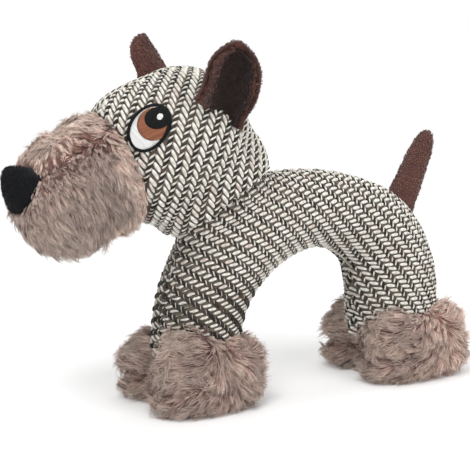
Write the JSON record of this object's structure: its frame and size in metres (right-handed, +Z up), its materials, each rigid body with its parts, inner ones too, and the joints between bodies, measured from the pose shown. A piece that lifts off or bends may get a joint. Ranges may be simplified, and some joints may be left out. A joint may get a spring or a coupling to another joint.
{
  "type": "squeaky plush dog toy",
  "caption": "Stuffed toy dog with an arched knitted body, knitted head, fur muzzle and feet, plush ears and tail, and a squeaker inside, for a dog to chew, shake and fetch.",
  "frame": {"origin": "under the middle of the toy's box, on the floor that the feet stand on", "axes": "+X from the nose toward the tail, +Y toward the dog's right side, +Z up"},
  "size_m": [0.2992, 0.1195, 0.2219],
  "materials": {
    "knit": "two-tone herringbone knit, soft and matt",
    "fur": "mauve-taupe long-pile faux fur",
    "plush": "chocolate short-pile plush",
    "dark_plush": "very dark brown short-pile plush",
    "felt": "near-black brushed felt",
    "black_thread": "satin stitch with a slight sheen",
    "white_thread": "satin stitch with a slight sheen",
    "brown_thread": "satin stitch with a slight sheen",
    "stuffing": "loose polyester fibre",
    "vinyl": "soft satin vinyl",
    "reed": "thin smooth strip"
  },
  "bodies": {
    "torso": {"body_cover_left": "knit", "body_cover_right": "knit", "foreleg_filling": "stuffing", "shoulder_filling": "stuffing", "back_filling_front": "stuffing", "back_filling_rear": "stuffing", "rump_filling": "stuffing", "hindleg_filling": "stuffing", "squeaker_bulb": "vinyl", "squeaker_reed_tube": "vinyl", "squeaker_reed": "reed", "front_left_foot": "fur", "front_right_foot": "fur", "hind_left_foot": "fur", "hind_right_foot": "fur", "front_left_foot_filling": "stuffing", "front_right_foot_filling": "stuffing", "hind_left_foot_filling": "stuffing", "hind_right_foot_filling": "stuffing"},
    "neck": {"neck_wad": "stuffing"},
    "head": {"head_cover_left": "knit", "head_cover_right": "knit", "head_filling": "stuffing", "muzzle_cover": "fur", "muzzle_filling": "stuffing", "nose": "felt", "left_eye_rim": "black_thread", "left_eye_white": "white_thread", "left_eye_iris": "brown_thread", "left_eye_pupil": "black_thread", "left_eye_glint": "white_thread", "right_eye_rim": "black_thread", "right_eye_white": "white_thread", "right_eye_iris": "brown_thread", "right_eye_pupil": "black_thread", "right_eye_glint": "white_thread"},
    "left_ear": {"left_ear_back": "plush", "left_ear_lining": "dark_plush"},
    "right_ear": {"right_ear_back": "plush", "right_ear_lining": "dark_plush"},
    "tail": {"tail_panel_left": "plush", "tail_panel_right": "plush", "tail_filling": "stuffing"}
  },
  "joints": [
    {"name": "head_turn", "type": "hinge", "parent": "torso", "child": "neck", "pos_m": [-0.00005, 0, 0.095], "axis": [-0.515, 0, 0.8572], "range_deg": [-25, 25], "stiffness_Nm_per_rad": 1.5},
    {"name": "head_nod", "type": "hinge", "parent": "neck", "child": "head", "pos_m": [-0.00005, 0, 0.095], "axis": [0, 1, 0], "range_deg": [-8, 8], "stiffness_Nm_per_rad": 3},
    {"name": "left_ear_fold", "type": "hinge", "parent": "head", "child": "left_ear", "pos_m": [-0.02687, -0.03176, 0.18078], "axis": [0.882, -0.4056, -0.2401], "range_deg": [-18, 18], "stiffness_Nm_per_rad": 0.05},
    {"name": "right_ear_fold", "type": "hinge", "parent": "head", "child": "right_ear", "pos_m": [-0.02687, 0.03176, 0.18078], "axis": [-0.7704, -0.6217, 0.1413], "range_deg": [-18, 18], "stiffness_Nm_per_rad": 0.05},
    {"name": "tail_wag", "type": "hinge", "parent": "torso", "child": "tail", "pos_m": [0.11754, 0, 0.10831], "axis": [0.9063, 0, -0.4226], "range_deg": [-25, 25], "stiffness_Nm_per_rad": 0.08}
  ]
}
